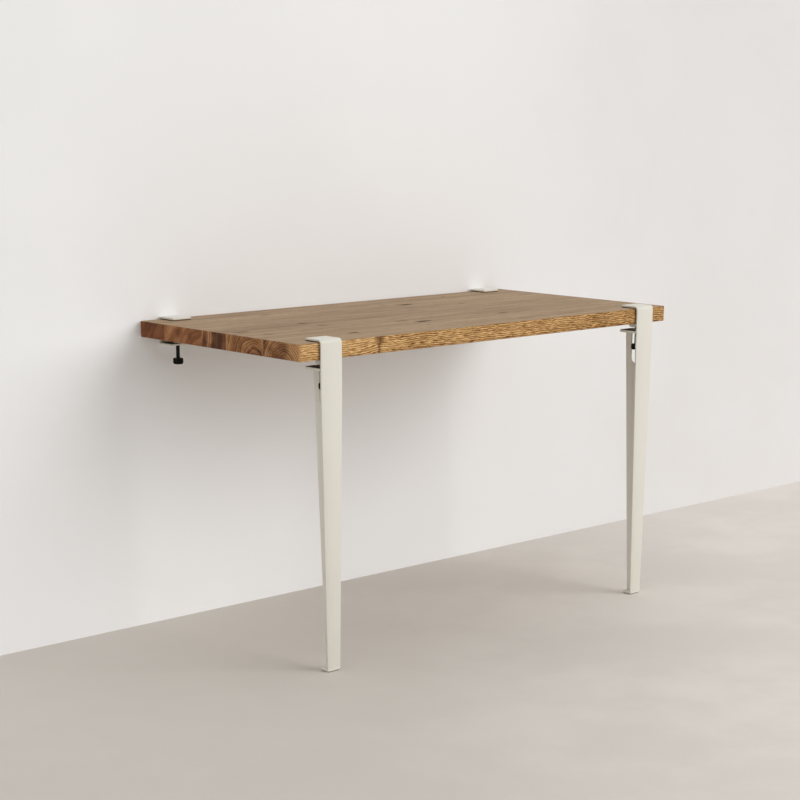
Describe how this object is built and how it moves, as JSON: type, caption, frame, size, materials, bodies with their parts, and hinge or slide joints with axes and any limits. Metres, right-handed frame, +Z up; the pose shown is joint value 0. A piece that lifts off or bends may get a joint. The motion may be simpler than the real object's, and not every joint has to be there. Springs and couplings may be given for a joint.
{
  "type": "wall-mounted desk",
  "caption": "Solid wood desk top clamped between two tapered steel front legs and two steel wall brackets, tightened by screws with round knobs under the board.",
  "frame": {"origin": "middle of the four wall screw holes, on the wall's face", "axes": "+X along the wall to the right as seen from the room, +Y into the wall, +Z up"},
  "size_m": [1.2, 0.613, 0.752],
  "materials": {
    "board_wood": "matt oiled reclaimed hardwood",
    "frame_paint": "warm off-white powder coat, satin",
    "glide_rubber": "dark rubber",
    "liner_rubber": "dark soft rubber",
    "bush_steel": "zinc-plated steel",
    "screw_black": "blackened steel",
    "knob_plastic": "black moulded plastic",
    "pad_steel": "zinc-plated steel"
  },
  "bodies": {
    "desk": {"stave_rear": "board_wood", "stave_second": "board_wood", "stave_third": "board_wood", "stave_fourth": "board_wood", "stave_front": "board_wood", "left_leg_plate": "frame_paint", "left_leg_shelf": "frame_paint", "left_leg_rib": "frame_paint", "left_leg_foot": "frame_paint", "left_leg_glide": "glide_rubber", "left_leg_liner": "liner_rubber", "left_leg_tab_liner": "liner_rubber", "left_leg_bush": "bush_steel", "left_bracket_strip": "frame_paint", "left_bracket_tab_liner": "liner_rubber", "left_bracket_bush": "bush_steel", "right_leg_plate": "frame_paint", "right_leg_shelf": "frame_paint", "right_leg_rib": "frame_paint", "right_leg_foot": "frame_paint", "right_leg_glide": "glide_rubber", "right_leg_liner": "liner_rubber", "right_leg_tab_liner": "liner_rubber", "right_leg_bush": "bush_steel", "right_bracket_strip": "frame_paint", "right_bracket_tab_liner": "liner_rubber", "right_bracket_bush": "bush_steel"},
    "left_leg_pad_body": {"left_leg_pad": "pad_steel"},
    "left_leg_screw_body": {"left_leg_screw": "screw_black", "left_leg_knob": "knob_plastic"},
    "right_leg_pad_body": {"right_leg_pad": "pad_steel"},
    "right_leg_screw_body": {"right_leg_screw": "screw_black", "right_leg_knob": "knob_plastic"},
    "left_bracket_pad_body": {"left_bracket_pad": "pad_steel"},
    "left_bracket_screw_body": {"left_bracket_screw": "screw_black", "left_bracket_knob": "knob_plastic"},
    "right_bracket_pad_body": {"right_bracket_pad": "pad_steel"},
    "right_bracket_screw_body": {"right_bracket_screw": "screw_black", "right_bracket_knob": "knob_plastic"}
  },
  "joints": [
    {"name": "left_leg_pad_slide", "type": "slide", "parent": "desk", "child": "left_leg_pad_body", "axis": [0, 0, 1], "range_m": [-0.0055, 0]},
    {"name": "left_leg_screw_turn", "type": "hinge", "parent": "left_leg_pad_body", "child": "left_leg_screw_body", "pos_m": [-0.5175, -0.5855, -0.05], "axis": [0, 0, 1], "continuous": true},
    {"name": "right_leg_pad_slide", "type": "slide", "parent": "desk", "child": "right_leg_pad_body", "axis": [0, 0, 1], "range_m": [-0.0055, 0]},
    {"name": "right_leg_screw_turn", "type": "hinge", "parent": "right_leg_pad_body", "child": "right_leg_screw_body", "pos_m": [0.5175, -0.5855, -0.05], "axis": [0, 0, 1], "continuous": true},
    {"name": "left_bracket_pad_slide", "type": "slide", "parent": "desk", "child": "left_bracket_pad_body", "axis": [0, 0, 1], "range_m": [-0.0055, 0]},
    {"name": "left_bracket_screw_turn", "type": "hinge", "parent": "left_bracket_pad_body", "child": "left_bracket_screw_body", "pos_m": [-0.5175, -0.038, -0.05], "axis": [0, 0, 1], "continuous": true},
    {"name": "right_bracket_pad_slide", "type": "slide", "parent": "desk", "child": "right_bracket_pad_body", "axis": [0, 0, 1], "range_m": [-0.0055, 0]},
    {"name": "right_bracket_screw_turn", "type": "hinge", "parent": "right_bracket_pad_body", "child": "right_bracket_screw_body", "pos_m": [0.5175, -0.038, -0.05], "axis": [0, 0, 1], "continuous": true}
  ],
  "couplings": [
    {"joint": "left_leg_screw_turn", "follows": "left_leg_pad_slide", "rad_per_m": 4188.8},
    {"joint": "right_leg_screw_turn", "follows": "right_leg_pad_slide", "rad_per_m": 4188.8},
    {"joint": "left_bracket_screw_turn", "follows": "left_bracket_pad_slide", "rad_per_m": 4188.8},
    {"joint": "right_bracket_screw_turn", "follows": "right_bracket_pad_slide", "rad_per_m": 4188.8}
  ]
}
